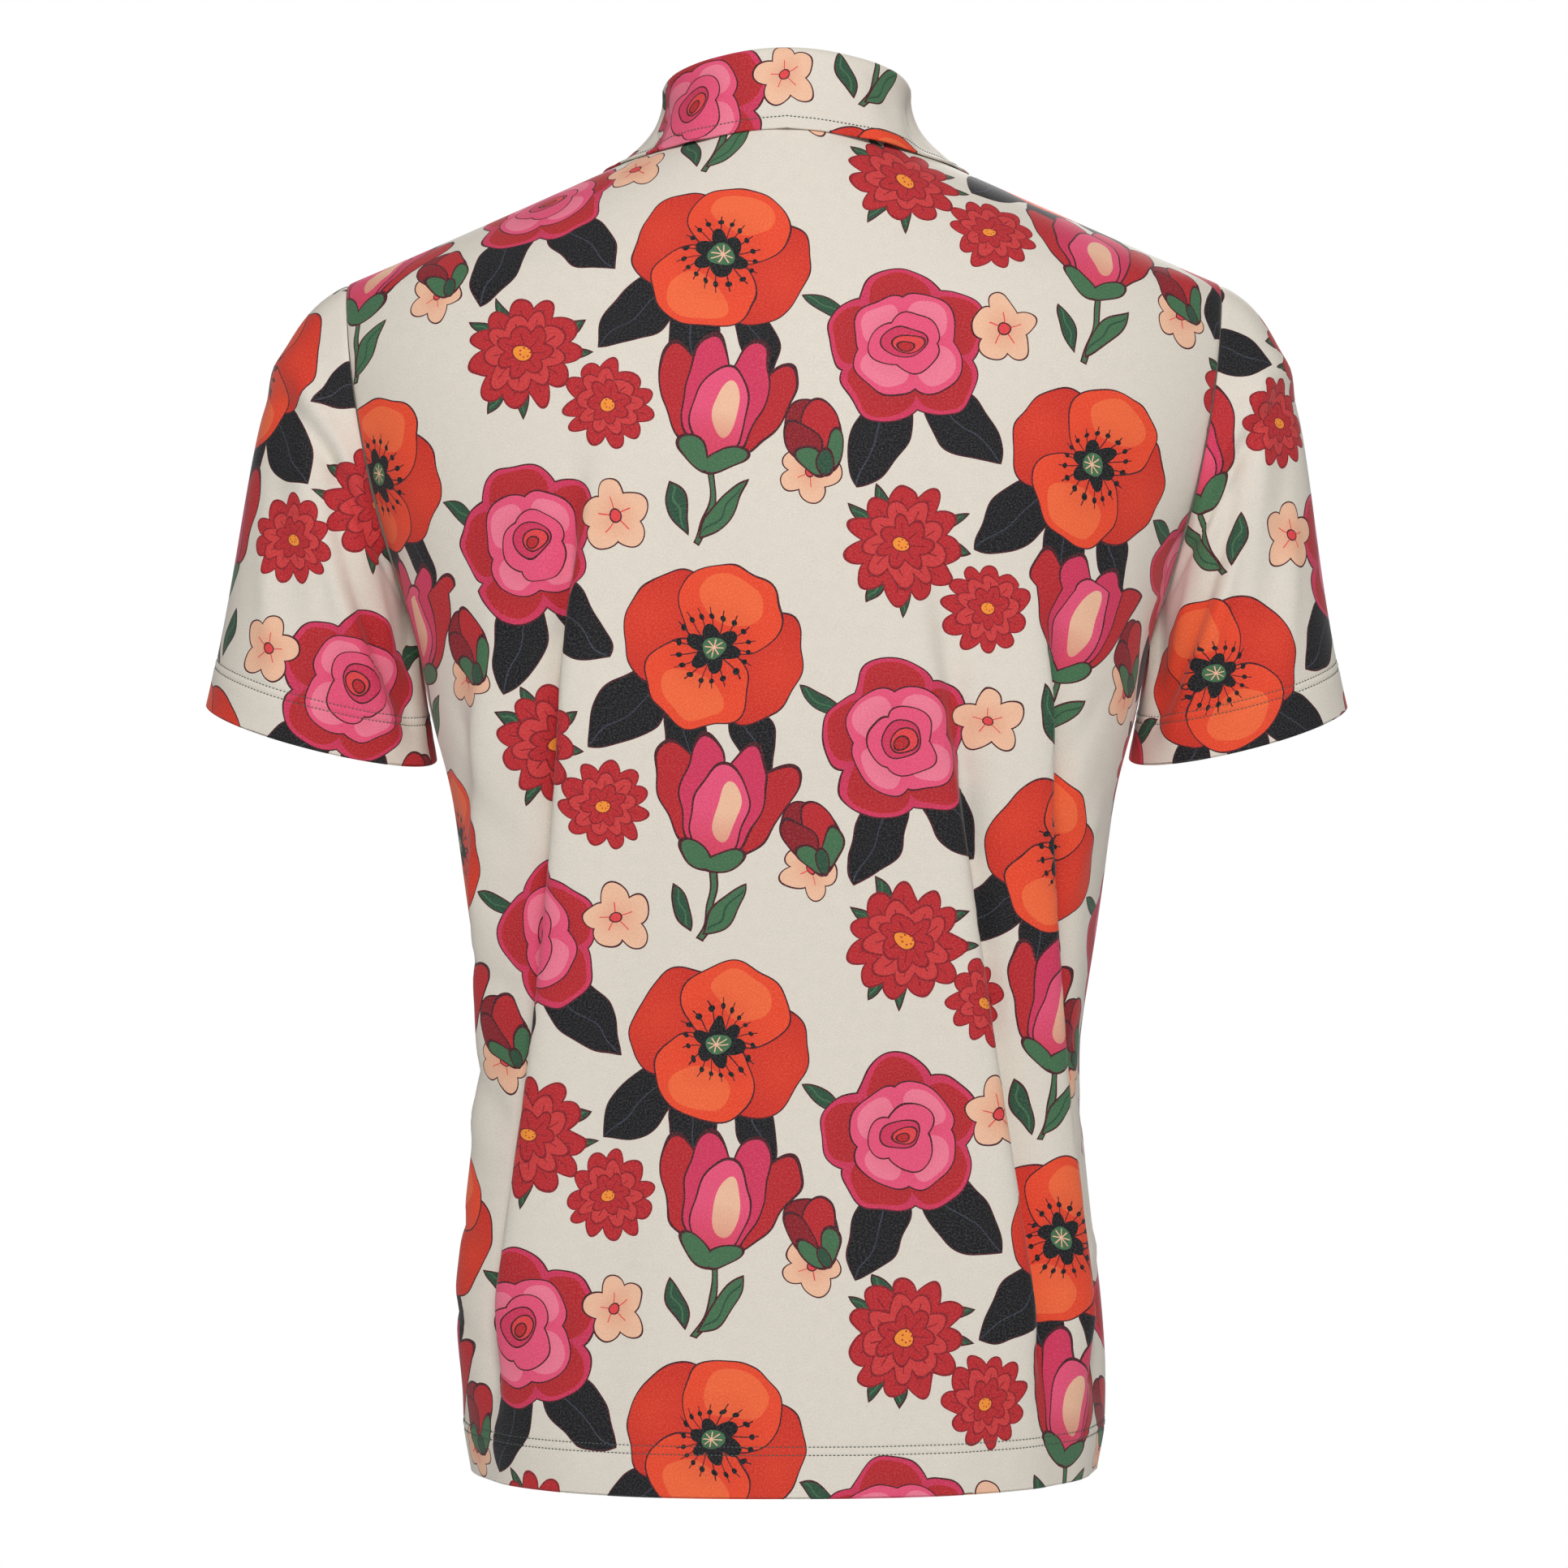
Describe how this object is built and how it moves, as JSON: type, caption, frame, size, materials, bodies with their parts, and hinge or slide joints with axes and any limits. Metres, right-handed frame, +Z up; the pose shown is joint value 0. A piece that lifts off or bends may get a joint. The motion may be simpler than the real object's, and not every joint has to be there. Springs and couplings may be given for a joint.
{
  "type": "polo shirt",
  "caption": "Short-sleeved printed jersey polo shirt with a fold-over collar and buttoned placket, filled out as if worn and hollow inside.",
  "frame": {"origin": "midway between the neck ends of the two shoulder seams, where a wearer's shoulders hold the shirt", "axes": "+Z up, towards the collar; the front faces -Y; +X is the wearer's left"},
  "size_m": [0.6198, 0.2529, 0.7584],
  "materials": {
    "printed_jersey": "matte knitted polyester jersey, cream with a floral print",
    "button_plastic": "cream sewn-through buttons"
  },
  "bodies": {
    "root": {"back_panel": "printed_jersey", "front_panel": "printed_jersey", "sleeve_left": "printed_jersey", "sleeve_right": "printed_jersey", "collar_stand": "printed_jersey", "collar_fall": "printed_jersey", "placket_over": "printed_jersey", "placket_under": "printed_jersey", "button_1": "button_plastic", "button_2": "button_plastic", "button_3": "button_plastic"}
  },
  "joints": []
}
